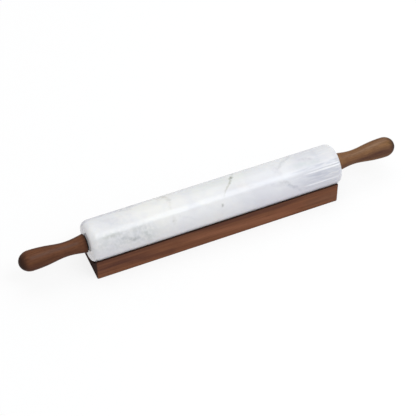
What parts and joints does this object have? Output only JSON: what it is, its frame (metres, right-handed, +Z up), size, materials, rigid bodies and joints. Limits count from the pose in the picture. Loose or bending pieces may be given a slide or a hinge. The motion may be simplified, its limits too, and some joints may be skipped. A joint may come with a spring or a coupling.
{
  "type": "rolling pin",
  "caption": "Polished stone rolling pin with turned wooden handles on a steel rod, lying in a long grooved wooden cradle.",
  "frame": {"origin": "on the cradle's underside, below the middle of the pin", "axes": "+X along the pin towards the right handle, +Z up, +Y towards the back"},
  "size_m": [0.571, 0.062, 0.0751],
  "materials": {
    "marble": "polished",
    "handle_wood": "oiled",
    "cradle_wood": "oiled",
    "rod_steel": "drawn",
    "zinc_steel": "zinc plated",
    "nylon": "moulded, black",
    "insert_brass": "machined"
  },
  "bodies": {
    "cradle": {"cradle": "cradle_wood"},
    "barrel": {"marble_barrel": "marble", "left_bush": "nylon", "right_bush": "nylon"},
    "handles": {"axle_rod": "rod_steel", "left_washer": "zinc_steel", "right_washer": "zinc_steel", "left_lock_nut": "zinc_steel", "right_lock_nut": "zinc_steel", "left_handle_insert": "insert_brass", "right_handle_insert": "insert_brass", "left_handle": "handle_wood", "right_handle": "handle_wood"}
  },
  "joints": [
    {"name": "pin_lift", "type": "slide", "parent": "cradle", "child": "barrel", "axis": [0, 0, 1], "range_m": [0, 0.08]},
    {"name": "handle_spin", "type": "hinge", "parent": "barrel", "child": "handles", "pos_m": [0, 0, 0.04515], "axis": [1, 0, 0], "continuous": true}
  ]
}
